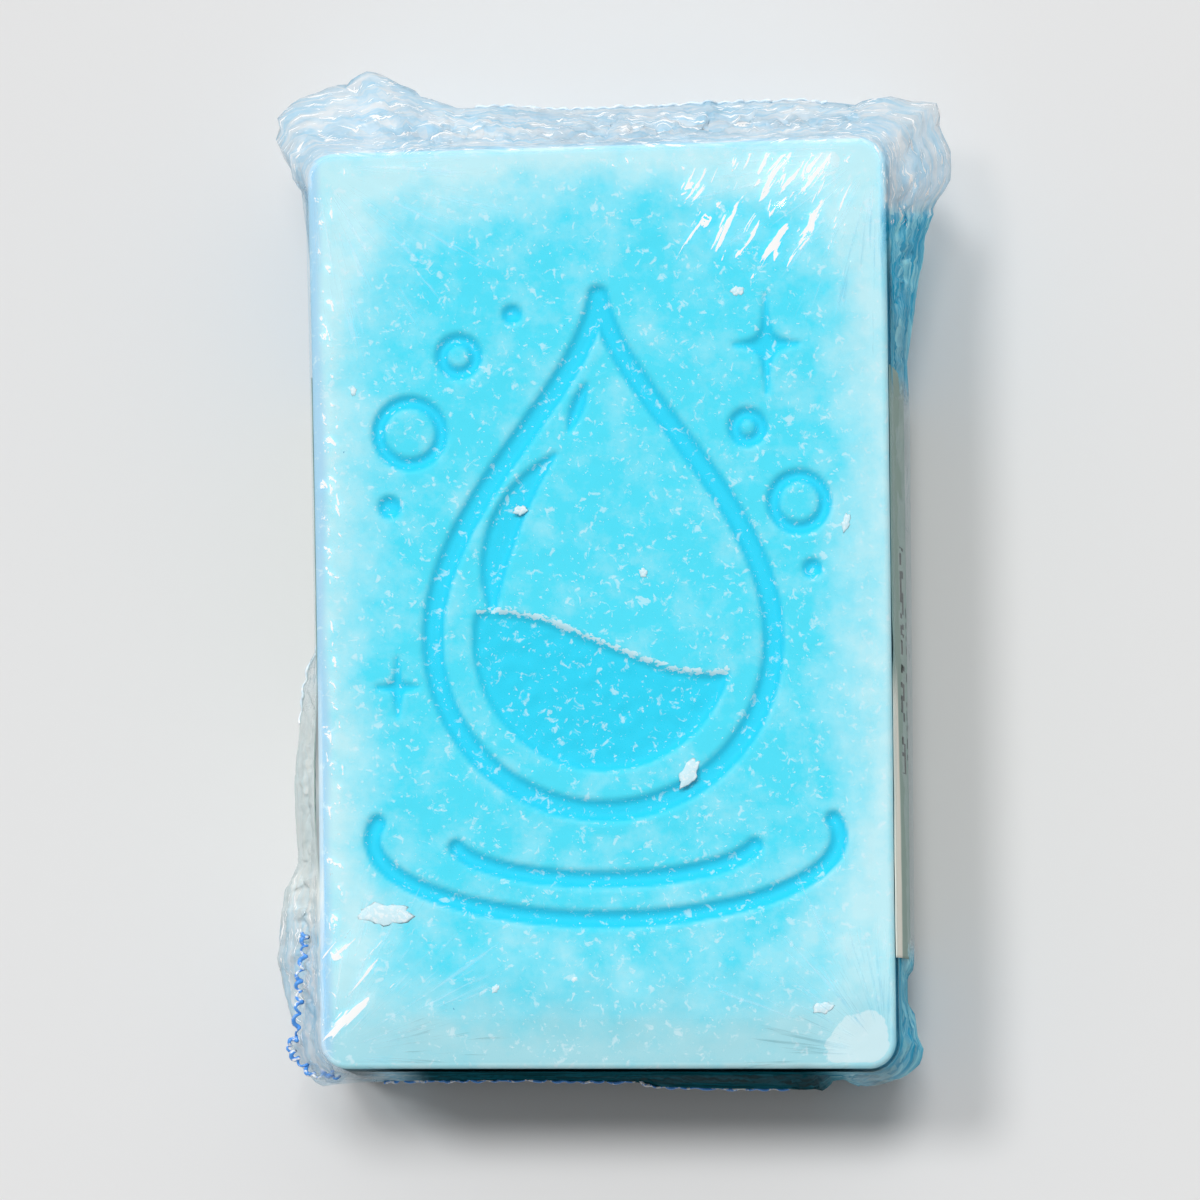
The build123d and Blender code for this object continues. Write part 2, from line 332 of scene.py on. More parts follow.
def creases(x, y, size, seed, folds=9):
    """Sharp uneven folds from -1 to 1: triangle waves of about one size, in random directions, added up."""
    draw = np.random.default_rng(seed)
    total = np.zeros_like(x)
    for _ in range(folds):
        angle, phase = draw.uniform(0, 2 * np.pi, 2)
        wave = 1 / (size * draw.uniform(0.6, 1.7))
        travel = wave * (x * np.cos(angle) + y * np.sin(angle)) + phase
        total += 4 * np.abs(travel - np.floor(travel) - 0.5) - 1
    return total / np.sqrt(folds) / 1.2


def bezier(a, b, c, d, count=60):
    """A cubic curve through a and d, pulled towards b and c."""
    t = np.linspace(0, 1, count)[:, None]
    a, b, c, d = (np.array(p, dtype=float) for p in (a, b, c, d))
    return (1 - t) ** 3 * a + 3 * (1 - t) ** 2 * t * b + 3 * (1 - t) * t**2 * c + t**3 * d


def arc_through(start, middle, end, count=60):
    """The circle's arc from start to end by way of middle."""
    (ax, ay), (bx, by), (cx, cy) = start, middle, end
    d = 2 * (ax * (by - cy) + bx * (cy - ay) + cx * (ay - by))
    a2, b2, c2 = ax**2 + ay**2, bx**2 + by**2, cx**2 + cy**2
    ux = (a2 * (by - cy) + b2 * (cy - ay) + c2 * (ay - by)) / d
    uy = (a2 * (cx - bx) + b2 * (ax - cx) + c2 * (bx - ax)) / d
    first, mid, final = (math.atan2(y - uy, x - ux) for x, y in (start, middle, end))
    turn = (final - first) % (2 * math.pi)
    if (mid - first) % (2 * math.pi) > turn:
        turn -= 2 * math.pi
    angle = first + turn * np.linspace(0, 1, count)
    radius = math.hypot(ax - ux, ay - uy)
    return np.stack([ux + radius * np.cos(angle), uy + radius * np.sin(angle)], 1)


def to_line(x, y, line, closed=False):
    """Each point's distance from a line of straight pieces: the least over its pieces."""
    ends = np.roll(line, -1, axis=0) if closed else line[1:]
    best = np.full(x.shape, 1e9)
    for (ax, ay), (bx, by) in zip(line, ends):
        dx, dy = bx - ax, by - ay
        t = np.clip(((x - ax) * dx + (y - ay) * dy) / max(dx * dx + dy * dy, 1e-12), 0, 1)
        best = np.minimum(best, (x - ax - t * dx) ** 2 + (y - ay - t * dy) ** 2)
    return np.sqrt(best)


def inside(x, y, line):
    """True where a point lies in a closed line: a ray to the right crosses it an odd number of times."""
    odd = np.zeros(x.shape, dtype=bool)
    for (ax, ay), (bx, by) in zip(line, np.roll(line, -1, axis=0)):
        if ay != by:
            odd ^= ((ay > y) != (by > y)) & (x < (bx - ax) * (y - ay) / (by - ay) + ax)
    return odd


def into(x, y, line):
    """How far inside a closed line each point lies; outside it, less than nothing."""
    distance = to_line(x, y, line, closed=True)
    return np.where(inside(x, y, line), distance, -distance)


# The engraved design, in millimetres: a water drop over ripples, with bubbles and glints.
drop_y, drop_radius, drop_tip = -4.0, 19.0, 34.5


def drop(inset):
    """A drop's outline: a half circle below, and two curves that rise to the tip."""
    radius, tip = drop_radius - inset, drop_tip - 2.1 * inset
    rise = tip - drop_y
    low, high = tip - 0.30 * rise, drop_y + 0.40 * rise
    return np.concatenate([
        bezier((0, tip), (0.1 * radius, low), (radius, high), (radius, drop_y))[:-1],
        arc_through((radius, drop_y), (0, drop_y - radius), (-radius, drop_y))[:-1],
        bezier((-radius, drop_y), (-radius, high), (-0.1 * radius, low), (0, tip))[:-1],
    ])


def engraving(x, y, wall=1.05):
    """How deep the face is cut at each point, from 0 to 1 for grooves and for wide recesses: a soft step
    across each cut's wall, at the wall's distance from the point."""
    def stroke(distance, width):
        return smooth(-wall / 2, wall / 2, width / 2 - distance)
    def area(depth_inside):
        return smooth(-wall / 2, wall / 2, depth_inside)
    grooves = [stroke(to_line(x, y, drop(0), closed=True), 2.0)]
    reach = drop_radius + 1
    wave = bezier((-reach, drop_y + 1.0), (-0.30 * reach, drop_y + 9.5), (0.30 * reach, drop_y - 11.0), (reach, drop_y - 1.5))
    below = np.concatenate([wave, [(reach, drop_y - drop_radius - 2), (-reach, drop_y - drop_radius - 2)]])
    water = np.minimum(into(x, y, drop(4.6)), into(x, y, below))
    recesses = [area(water)]
    waterline = smooth(1.1, 0.1, np.abs(into(x, y, below) + 0.35)) * smooth(-0.4, 0.4, into(x, y, drop(4.4)))
    for start, outer, inner, end in (
        ((-12.2, -1.5), (-12.6, 8.6), (-9.6, 7.6), (-5.0, 16.8)),
        ((-3.4, 19.4), (-3.0, 22.4), (-1.9, 21.9), (-1.4, 24.6)),
    ):
        shape = np.concatenate([arc_through(start, outer, end)[:-1], arc_through(end, inner, start)[:-1]])
        grooves.append(area(into(x, y, shape)))
    for half_width, half_height, first, final in ((26.0, 9.0, 168, 372), (17.0, 4.6, 192, 348)):
        angle = np.radians(np.linspace(first, final, 90))
        curve = np.stack([half_width * np.cos(angle), -26.0 + half_height * np.sin(angle)], 1)
        grooves.append(stroke(to_line(x, y, curve), 1.5))
    for cx, cy, radius in ((-21.2, 19.5, 3.5), (-15.6, 28.0, 1.9), (22.0, 11.0, 2.9), (16.4, 19.4, 1.5)):
        grooves.append(stroke(np.abs(np.hypot(x - cx, y - cy) - radius), 1.1))
    for cx, cy, radius in ((-23.6, 11.2, 1.1), (23.4, 3.6, 0.9), (-9.6, 32.6, 0.9)):
        grooves.append(area(radius - np.hypot(x - cx, y - cy)))
    for cx, cy, half_width, half_height in ((18.6, 28.6, 3.6, 5.4), (-23.0, -9.0, 2.2, 3.2)):
        tips = np.array([(half_width, 0), (0, half_height), (-half_width, 0), (0, -half_height)]) + (cx, cy)
        hollows = 0.12 * (tips + np.roll(tips, -1, axis=0) - 2 * np.array((cx, cy))) + (cx, cy)
        star = np.concatenate([bezier(a, h, h, b, 12)[:-1] for a, h, b in zip(tips, hollows, np.roll(tips, -1, axis=0))])
        recesses.append(area(into(x, y, star)))
    return np.max(grooves, axis=0), np.max(recesses, axis=0), waterline


top_inset = face_round * math.tan((math.pi / 2 - draft) / 2)
flat_half, flat_corner = face_half - top_inset, plan_round - top_inset
plan_x, plan_y = plan_grid(flat_half, flat_corner, grid_step)
x, y = plan_x / MM, plan_y / MM
groove, recess, waterline = engraving(x, y)
cut = np.maximum(groove, recess)
from_edge = np.minimum(flat_half[0] / MM - np.abs(x), flat_half[1] / MM - np.abs(y))
settle = smooth(0, 2.5, from_edge)
pitting = swell(x, y, 2.6, 11) * 0.02
height = face_z / MM - np.maximum(0.8 * groove, 0.7 * recess) + settle * (
    0.05 * swell(x, y, 14, 13) + pitting * (1 + 2.2 * recess))
top = np.stack([plan_x, plan_y, height * MM], -1)

rim_index = grid_rim(*plan_x.shape)
rim_plan = np.stack([plan_x, plan_y], -1).reshape(-1, 2)[rim_index]
rim_out = outward(rim_plan, flat_half, flat_corner)


def hang(offset, z):
    """A ring of points at one height, straight out from the flat top's rim by an offset."""
    return np.concatenate([rim_plan + rim_out * np.reshape(offset, (-1, 1)), np.broadcast_to(np.reshape(z, (-1, 1)), (len(rim_plan), 1))], 1)


turns = np.linspace(0, math.pi / 2 - draft, 7)[1:]
rings = [hang(face_round * math.sin(t), face_z - face_round * (1 - math.cos(t))) for t in turns]
side_top = rings[-1][0, 2]
side_out = face_round * math.cos(draft)
side_bottom = back_z + back_round * (1 + math.sin(draft))
dips = swell(rim_plan[:, 0] / MM, rim_plan[:, 1] / MM, 18, 15)
for share in np.linspace(0, 1, 13)[1:]:
    z = side_top + (side_bottom - side_top) * share
    offset = side_out + (side_top - z) * math.tan(draft)
    rings.append(hang(offset - 0.05 * MM * dips * math.sin(math.pi * share), z))
foot_out = side_out + (side_top - side_bottom) * math.tan(draft)
for t in np.linspace(draft, -math.pi / 2, 6)[1:]:
    rings.append(hang(foot_out + back_round * (math.cos(t) - math.cos(draft)), back_z + back_round * (1 + math.sin(t))))
clay = capped_block("clay_block", top, rings)
print("clay", len(clay.data.vertices), len(clay.data.polygons), min(v[2] for v in rings[-1][:3]))


def paint(piece, name, values):
    """Stores one number per point of a piece, for its material to read."""
    attribute = piece.data.attributes.new(name, "FLOAT", "POINT")
    padded_values = np.zeros(len(piece.data.vertices), dtype=np.float32)
    padded_values[: len(values)] = values
    attribute.data.foreach_set("value", padded_values)


rough_x, rough_y = swell(x, y, 22, 21), swell(x, y, 9, 22)
side_fade = 1 - smooth(-1.5, 10 + 3 * rough_x - 1.2 * (x > 0), from_edge + 1.8 * rough_y)
corner_x, corner_y = np.abs(x) / (flat_half[0] / MM), np.abs(y) / (flat_half[1] / MM)
milk = 0.80 * side_fade + 0.55 * smooth(0.8, 1.75, corner_x**2 + corner_y**2) + 0.16 * smooth(-18, -44, y)
milk += 0.14 * smooth(34, 47, y) + 0.16 * smooth(8, 26, x) * smooth(-22, -38, y)
milk = np.clip(np.clip(milk, 0, 1) + 0.12 * rough_y + 0.06, 0, 1) * (1 - 0.85 * cut)
pad = smooth(2.6, 1.9, to_line(x, y, np.array([(27.6, -47.6), (28.9, -47.2), (29.2, -49.0), (26.4, -49.2)])))
pad = np.maximum(pad, 0.8 * smooth(1.9, 1.2, np.hypot(x - 25.6, y - 48.6)))
# Painted shade: the face darkens towards its near end, where less light falls.
end_shade = 0.62 * smooth(-38, -50.5, y + 1.5 * rough_y)
for name, values in (("cut", smooth(0.02, 0.45, cut)), ("milk", milk), ("crust", waterline), ("pad", pad), ("end_shade", end_shade)):
    paint(clay, name, values.ravel())
side_points = np.concatenate(rings)
left_of = -np.concatenate([x.ravel(), side_points[:, 0] / MM])
paint(clay, "left_edge", smooth(30.3, 31.5, left_of + 0.35 * np.concatenate([rough_x.ravel(), np.zeros(len(side_points))])))
# Painted shade: below the rim the clay's sides take a dark blue, and its front side a near-black blue.
below_rim = np.concatenate([np.zeros(x.size), smooth(1.0, 2.4, (face_z - side_points[:, 2]) / MM)])
paint(clay, "side", below_rim)
paint(clay, "front", np.concatenate([np.zeros(x.size), smooth(-50.9, -51.7, side_points[:, 1] / MM)]))
paint(clay, "rim", np.concatenate([np.zeros(x.size), np.ones(len(side_points))]) * (1 - below_rim))

clay_finish = Finish("milky_cyan_clay")
cloud = clay_finish.add("ShaderNodeTexNoise")
clay_finish.set(cloud, Scale=1.0, Detail=4.0, Roughness=0.65)
clay_finish.join(clay_finish.space((0.0035, 0.0035, 0.0035)), cloud.inputs["Vector"])
milkiness = clay_finish.maths("MULTIPLY_ADD", cloud.outputs["Fac"], 1.25, -0.625)
milkiness = clay_finish.maths("ADD", milkiness, clay_finish.read("milk"))
milkiness = clay_finish.maths("MULTIPLY_ADD", clay_finish.read("rim"), 0.9, milkiness)
tint = clay_finish.blend(clay_finish.maths("MINIMUM", clay_finish.maths("MAXIMUM", milkiness, 0.0), 1.0),
                         (0.064, 0.775, 0.95, 1), (0.58, 0.90, 0.95, 1))
# Painted shade towards the face's near end.
tint = clay_finish.blend(clay_finish.read("end_shade"), tint, (0.30, 0.66, 0.74, 1))
tint = clay_finish.blend(clay_finish.maths("MULTIPLY", clay_finish.read("left_edge"), 0.8), tint, (0.40, 0.65, 0.86, 1))
tint = clay_finish.blend(clay_finish.read("cut"), tint, (0.003, 0.70, 0.93, 1))
crumbs = clay_finish.flecks(clay_finish.space((0.0010, 0.0010, 0.0010)), 1.0, 0.57, 0.12)
tint = clay_finish.blend(clay_finish.maths("MULTIPLY", crumbs, 0.55), tint, (0.78, 0.93, 0.97, 1))
fine = clay_finish.flecks(clay_finish.space((0.0005, 0.0005, 0.0005), 0.0, None, 0.02), 1.0, 0.66, 0.04)
tint = clay_finish.blend(clay_finish.maths("MULTIPLY", fine, 0.6), tint, (0.85, 0.96, 0.98, 1))
crust = clay_finish.flecks(clay_finish.space((0.0009, 0.0007, 0.0009)), clay_finish.read("crust"), 0.42, 0.06)
tint = clay_finish.blend(clay_finish.maths("MULTIPLY", crust, 0.8), tint, (0.80, 0.94, 0.97, 1))
pads = clay_finish.flecks(clay_finish.space((0.0016, 0.0016, 0.0016)), clay_finish.read("pad"), 0.30, 0.08)
tint = clay_finish.blend(clay_finish.maths("MULTIPLY", pads, 0.8), tint, (0.74, 0.90, 0.92, 1))
specks = clay_finish.flecks(clay_finish.space((0.0009, 0.0009, 0.0009), 0.0, None, 0.05), 1.0, 0.765, 0.02)
tint = clay_finish.blend(specks, tint, (0.01, 0.30, 0.55, 1))
# Painted shade on the sides, darkest on the front side.
tint = clay_finish.blend(clay_finish.read("side"), tint, (0.010, 0.33, 0.52, 1))
tint = clay_finish.blend(clay_finish.maths("MULTIPLY", clay_finish.read("side"), clay_finish.read("front")), tint, (0.002, 0.06, 0.08, 1))
clay_finish.join(tint, clay_finish.shader.inputs["Base Color"])
clay_finish.set(clay_finish.shader, Roughness=0.6, Specular_IOR_Level=0.15)
clay.data.materials.append(clay_finish.material)
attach(clay, "root")
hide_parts("clay_bar")


# --- Film wrap ---
# Clear shrink film, folded on the right and welded on the other three sides, then shrunk with hot air.
# It lies tight on the faces, is drawn into fine folds at the corners and stands loose past the back end.
film_gap = 0.31 * MM
film_step = 0.34 * MM
tuck = 5.0 * MM
seam_z = (face_z + back_z) / 2


def fan(half, corner, step, tuck):
    """Rays that lead out of a block's plan: straight out along its sides, and spread evenly over a wide
    quarter turn at each corner, so that gathered film has enough points there."""
    inner_half, inner_corner = half - tuck, corner + tuck
    x, y = plan_grid(inner_half, inner_corner, step)
    start = np.stack([x, y], -1).reshape(-1, 2)[grid_rim(*x.shape)]
    return x, y, start, outward(start, inner_half, inner_corner)


def along_rays(start, ray, half, corner, offset):
    """Where each ray meets the line that runs outside a rounded rectangle at a given offset, found by
    stepping on by the distance that is still missing."""
    core = half - corner
    travel = np.zeros(len(start))
    for _ in range(60):
        away = np.abs(start + ray * travel[:, None]) - core
        distance = np.hypot(*np.maximum(away, 0).T) + np.minimum(away.max(axis=1), 0) - corner
        travel += offset - distance
    return start + ray * travel[:, None]


inner_x, inner_y, ray_start, ray = fan(flat_half, flat_corner, film_step, tuck)
on_rim = along_rays(ray_start, ray, flat_half, flat_corner, 0.0)

# The film's outline at mid height, in millimetres, counter-clockwise: drawn in to the block along most of
# the right and front, loose past the back end, with a gathered corner at each end of every side.
outline = np.array([
    (-31.6, -52.9), (-30.5, -52.3), (-27.0, -52.4), (-10.0, -52.4), (3.0, -52.6), (12.0, -52.9), (20.0, -53.0),
    (21.6, -53.5), (23.4, -53.4), (24.6, -52.6), (26.0, -52.5), (28.0, -53.1), (30.8, -52.8), (32.6, -52.1),
    (33.9, -50.9), (34.5, -49.4), (33.8, -48.0), (33.5, -45.4), (32.95, -42.8), (32.85, -39.8), (32.85, 22.0),
    (33.2, 28.0), (33.6, 30.8), (34.4, 36.5), (35.3, 41.0), (35.5, 42.6), (36.3, 44.1), (36.4, 45.9),
    (37.2, 47.0), (38.4, 49.1), (38.5, 51.7), (37.3, 54.6), (37.3, 57.4), (34.0, 57.6), (31.9, 58.0),
    (27.5, 57.6), (14.8, 57.7), (5.3, 57.3), (-4.3, 57.0), (-12.1, 57.5), (-17.0, 57.3), (-19.0, 58.1),
    (-23.3, 60.1), (-26.7, 61.9), (-30.7, 60.5), (-35.6, 58.3), (-37.5, 56.4), (-37.9, 53.6), (-36.6, 51.4),
    (-34.9, 47.5), (-34.1, 43.5), (-33.6, 36.1), (-33.1, 28.0), (-33.1, -4.0), (-34.2, -8.3), (-35.2, -18.5),
    (-34.8, -28.0), (-36.3, -30.9), (-37.1, -38.8), (-36.5, -42.2), (-35.5, -45.5), (-34.8, -46.8),
    (-35.7, -48.6), (-34.4, -50.9), (-32.6, -52.8),
]) * MM
outline[(np.abs(outline[:, 1] + 9 * MM) < 32 * MM) & (outline[:, 0] > 0), 0] += 0.62 * MM
outline = 2 * outline - settled(outline)


def reach_to(start, ray, line):
    """How far each ray runs before it leaves a closed line: the furthest of its crossings with the pieces."""
    furthest = np.zeros(len(start))
    for a, b in zip(line, np.roll(line, -1, axis=0)):
        side = b - a
        across = ray[:, 0] * side[1] - ray[:, 1] * side[0]
        safe = np.where(np.abs(across) < 1e-12, 1e-12, across)
        away = a - start
        travel = (away[:, 0] * side[1] - away[:, 1] * side[0]) / safe
        share = (away[:, 0] * ray[:, 1] - away[:, 1] * ray[:, 0]) / safe
        hit = (share >= -1e-9) & (share <= 1 + 1e-9) & (travel > 0)
        furthest = np.where(hit, np.maximum(furthest, travel), furthest)
    return furthest


film_round = face_round + film_gap
half_drop = (face_z - back_z) / 2 - face_round
tight_offset = film_round * math.cos(draft) + half_drop * math.tan(draft)
tight = along_rays(ray_start, ray, flat_half, flat_corner, tight_offset)
reach_out = np.maximum((reach_to(ray_start, ray, outline) - np.linalg.norm(tight - ray_start, axis=1)) / MM, 0.05)

hem = tight + ray * reach_out[:, None] * MM
walk = np.concatenate([[0], np.cumsum(np.linalg.norm(np.diff(hem, axis=0), axis=1))]) / MM
round_trip = walk[-1] + np.linalg.norm(hem[0] - hem[-1]) / MM


def around(size, seed, waves=10):
    """Uneven ripples along the closed rim, from -1 to 1: sine waves with a whole number of turns each."""
    draw = np.random.default_rng(seed)
    total = np.zeros_like(walk)
    for _ in range(waves):
        turns = max(1, round(round_trip / (size * draw.uniform(0.6, 1.7))))
        total += np.sin(2 * np.pi * turns * walk / round_trip + draw.uniform(0, 2 * np.pi))
    return total / np.sqrt(waves) / 1.4


def streaks(x, y, lean, across, along, seed, folds=11):
    """Long narrow folds from -1 to 1 that lean at an angle: creases with one short and one long scale."""
    c, s = math.cos(math.radians(lean)), math.sin(math.radians(lean))
    return creases((x * s - y * c) / across, (x * c + y * s) / along, 1.0, seed, folds)


def face_folds(x, y):
    """How far the film stands off the face, in millimetres: leaning folds near two corners, fine folds
    that run in from every corner and edge, and hardly anything in the middle."""
    far_right = smooth(34, 6, np.hypot((x - 26) / 1.0, (y - 47) / 0.8))
    near_left = smooth(26, 4, np.hypot((x + 30) / 0.9, (y + 44) / 1.1))
    rise = 0.07 * far_right * (0.5 + 0.5 * streaks(x, y, 58, 2.2, 7.0, 31))
    rise += 0.07 * near_left * (0.5 + 0.5 * streaks(x, y, 46, 2.4, 10.0, 32))
    for cx, cy, seed in ((-31, 50, 33), (31, 50, 34), (31, -50, 35), (-31, -50, 36)):
        radius, angle = np.hypot(x - cx, y - cy), np.arctan2(y - cy, x - cx)
        rise += 0.028 * smooth(30, 2, radius) * (0.5 + 0.5 * creases(angle * 14, radius / 16, 1.0, seed))
    edge_x, edge_y = 32 - np.abs(x), 51.4 - np.abs(y)
    rise += 0.02 * smooth(9, 0, edge_y) * (0.5 + 0.5 * creases(x / 1.5, y / 7, 1.0, 37))
    rise += 0.05 * smooth(7, 0, edge_x) * (0.5 + 0.5 * creases(x / 5, y / 1.5, 1.0, 38))
    rise += 0.025 * (0.5 + 0.5 * creases(x, y, 3.0, 39))
    return rise


film_top_z = face_z / MM + film_gap / MM + face_folds(inner_x / MM, inner_y / MM)
film_top = np.stack([inner_x, inner_y, film_top_z * MM], -1)
loose = smooth(0.4, 4.0, reach_out)
end_band = smooth(0.6, 0.95, ray[:, 1])


def film_ring(offset, z, spread, web):
    """One ring of the film: offset from the flat face's rim where it is tight, its height, and what share
    of its reach it has at that height. Folds run down the sides, and along the loose end."""
    at = along_rays(ray_start, ray, flat_half, flat_corner, offset)
    x, y = at[:, 0] / MM, at[:, 1] / MM
    gathers = (0.10 * around(2.0, 41) + 0.07 * around(1.1, 42)) * (0.35 + 1.6 * loose)
    drift = 0.30 * loose * creases(walk / 3.0, np.full_like(walk, spread * 4 + web), 1.0, 43)
    crinkle = 0.16 * loose * creases(walk / 1.3, np.full_like(walk, spread * 9 + 3 * web), 1.0, 44)
    fold = np.sin(math.pi * min(spread, 1.0)) * 0.8 + 0.2 * (spread > 0)
    out = reach_out * spread + fold * np.abs(gathers) + fold * (drift + crinkle)
    sway = (0.5 * loose + 0.15) * around(9, 45) + 0.35 * loose * around(2.4, 46)
    place = at + ray * (out * MM)[:, None]
    rise = z + MM * (sway * spread + loose * fold * 0.35 * creases(walk / 2.2, np.full_like(walk, spread * 7 + web), 1.0, 47))
    return np.concatenate([place, rise[:, None]], 1)


film_rings = []
for share in np.linspace(0, 1, 13)[1:]:
    flat = ray_start + (on_rim - ray_start) * share
    lift = film_gap + MM * face_folds(flat[:, 0] / MM, flat[:, 1] / MM) * (1 - 0.6 * share**3)
    film_rings.append(np.concatenate([flat, (face_z + lift)[:, None]], 1))
for t in np.linspace(0, math.pi / 2 - draft, 7)[1:]:
    film_rings.append(film_ring(film_round * math.sin(t), face_z + film_gap - film_round * (1 - math.cos(t)), 0.0, 0))
wall_top, wall_out = film_rings[-1][0, 2], film_round * math.cos(draft)
for share in np.linspace(0, 1, 19)[1:]:
    z = wall_top + (seam_z - wall_top) * share
    film_rings.append(film_ring(wall_out + (wall_top - z) * math.tan(draft), z, share**1.25, 0))
foot_round = back_round + film_gap
foot_z = back_z - film_gap + foot_round * (1 + math.sin(draft))
for share in np.linspace(0, 1, 15)[1:]:
    z = seam_z + (foot_z - seam_z) * share
    film_rings.append(film_ring(wall_out + (wall_top - z) * math.tan(draft), z, (1 - share) ** 1.25, 1))
foot_offset = wall_out + (wall_top - foot_z) * math.tan(draft)
for t in np.linspace(draft, -math.pi / 2, 7)[1:]:
    film_rings.append(film_ring(foot_offset + foot_round * (math.cos(t) - math.cos(draft)), back_z - film_gap + foot_round * (1 + math.sin(t)), 0.0, 1))
flat_rings, loose_rings = film_rings[:12], film_rings[12:]


def buckle(rings, spare, held, frames=26, scale=20.0):
    """Lets loose film crumple: the skirt of rings becomes cloth whose every length is a little too long for
    its place, so that it folds. Held points stay. It is done on a larger copy, where the solver is steady."""
    count = len(rings[0])
    points = np.concatenate(rings) * scale
    index = np.arange(len(rings) * count).reshape(len(rings), count)
    quads = np.stack([index[:-1], index[1:], np.roll(index, -1, 1)[1:], np.roll(index, -1, 1)[:-1]], -1)
    skirt = mesh_piece("skirt", points, quads.reshape(-1, 4).tolist())
    for name, weights in (("held", held), ("taut", 1 - spare)):
        group = skirt.vertex_groups.new(name=name)
        levels = np.round(weights.ravel() * 20) / 20
        for level in np.unique(levels):
            if level > 0:
                group.add(np.nonzero(levels == level)[0].tolist(), float(level), "REPLACE")
    cloth = skirt.modifiers.new("cloth", "CLOTH")
    settings = cloth.settings
    settings.quality, settings.mass, settings.air_damping = 6, 0.15, 1.5
    settings.tension_stiffness = settings.compression_stiffness = 25
    settings.shear_stiffness, settings.bending_stiffness = 12, 0.03
    settings.tension_damping = settings.compression_damping = settings.shear_damping = 3
    settings.vertex_group_mass, settings.pin_stiffness = "held", 1.0
    settings.vertex_group_shrink, settings.shrink_min, settings.shrink_max = "taut", -0.30, 0.0
    settings.effector_weights.gravity = 0.0
    cloth.collision_settings.use_collision = False
    scene = bpy.context.scene
    cloth.point_cache.frame_start, cloth.point_cache.frame_end = 1, frames
    for frame_number in range(1, frames + 1):
        scene.frame_set(frame_number)
    settled = skirt.evaluated_get(bpy.context.evaluated_depsgraph_get()).to_mesh()
    moved = np.zeros(len(points) * 3, dtype=np.float32)
    settled.vertices.foreach_get("co", moved)
    scene.frame_set(1)
    bpy.data.objects.remove(skirt)
    return list(moved.reshape(len(rings), count, 3).astype(float) / scale)


import time
t0 = time.time()
row_count = len(loose_rings)
height_share = np.array([1 - abs(ring[:, 2].mean() - seam_z) / (seam_z - back_z) for ring in loose_rings])
free = smooth(0.25, 0.6, height_share)[:, None] * smooth(0.25, 1.6, reach_out)[None, :]
before = np.array(loose_rings)
after = np.array(buckle(loose_rings, free, 1 - smooth(0.0, 0.3, free)))
limit = 0.6 * MM
moved = after - before
size = np.linalg.norm(moved, axis=2, keepdims=True)
loose_rings = list(before + moved * np.minimum(1, limit / np.maximum(size, 1e-9)))
print("buckle", time.time() - t0, size.max() / MM, size.mean() / MM)
film_rings = flat_rings + loose_rings
film = capped_block("film_wrap", film_top, film_rings)
print("film", len(film.data.vertices), len(film.data.polygons))
skin = np.concatenate([film_top.reshape(-1, 3), *film_rings])
skin_x, skin_y = skin[:, 0] / MM, skin[:, 1] / MM
flat_count = inner_x.size + 12 * len(on_rim)
gathered = np.zeros(len(skin))
gathered[flat_count:] = np.tile(loose, len(film_rings) - 12)
paint(film, "gathered", gathered)
ring_sum = len(film_rings)
hem_y = hem[:, 1] / MM
past_label = np.maximum(smooth(47, 43, hem_y) * smooth(22, 26, hem_y), smooth(-36, -40, hem_y))
down_right = np.tile(smooth(0.3, 0.8, ray[:, 0]) * past_label, ring_sum)
front_side = np.tile(smooth(-0.6, -0.95, ray[:, 1]), ring_sum)
left_flap = np.tile(smooth(-0.6, -0.95, ray[:, 0]) * smooth(-6, -12, hem[:, 1] / MM) * smooth(-37, -31, hem[:, 1] / MM), ring_sum)
in_shade = np.zeros(len(skin))
in_shade[inner_x.size:] = np.maximum(down_right, front_side * np.tile(smooth(-30, -20, hem[:, 0] / MM), ring_sum))
# Painted light: over the left label flap the film is hazier and pale greenish, for light coming through the thin paper.
flap_glow_haze = np.ones(len(skin))
flap_glow_haze[inner_x.size:] = 1 + 0.5 * left_flap
below_rim = smooth(face_z - 0.5 * MM, face_z - 2.5 * MM, skin[:, 2])
paint(film, "in_shade", in_shade)
under_front = np.zeros(len(skin))
under_front[inner_x.size:] = front_side * np.tile(smooth(-30, -20, hem[:, 0] / MM) * smooth(31, 22, hem[:, 0] / MM), ring_sum)
paint(film, "under_front", under_front)
# Haze share: the loose film's own milkiness. Below the rim on the shaded right side and front, it is raised so the
# painted shade colours cover them.
paint(film, "haze_and_shade", gathered * flap_glow_haze + below_rim * (1.3 * in_shade + 2.2 * under_front))
flap_glow = np.zeros(len(skin))
flap_glow[inner_x.size:] = left_flap
paint(film, "flap_glow", flap_glow)
corner_far = np.hypot(31 - np.abs(skin_x), 50 - np.abs(skin_y))
corner_angle = np.arctan2(50 - np.abs(skin_y), 31 - np.abs(skin_x)) * 20
corner_number = 40 * (skin_x > 0) + 80 * (skin_y > 0)
polar = np.zeros((len(film.data.vertices), 3), dtype=np.float32)
polar[:len(skin)] = np.stack([corner_angle, corner_far, corner_number], 1)
film.data.attributes.new("from_corner", "FLOAT_VECTOR", "POINT").data.foreach_set("vector", polar.ravel())
near_corner = smooth(36, 12, corner_far) * smooth(1.5, 5, corner_far) * (skin[:, 2] > face_z)
paint(film, "near_corner", 0.45 + 0.55 * near_corner)
drop_off = np.zeros(len(skin))
drop_off[inner_x.size:] = np.repeat(np.concatenate([smooth(0.35, 0.75, np.linspace(0, 1, 12)), np.ones(6), np.zeros(ring_sum - 18)]), len(on_rim))
drop_off[inner_x.size:] = np.maximum(drop_off[inner_x.size:], np.maximum(0.88 * under_front[inner_x.size:], 0.55 * down_right))
paint(film, "dull", drop_off)
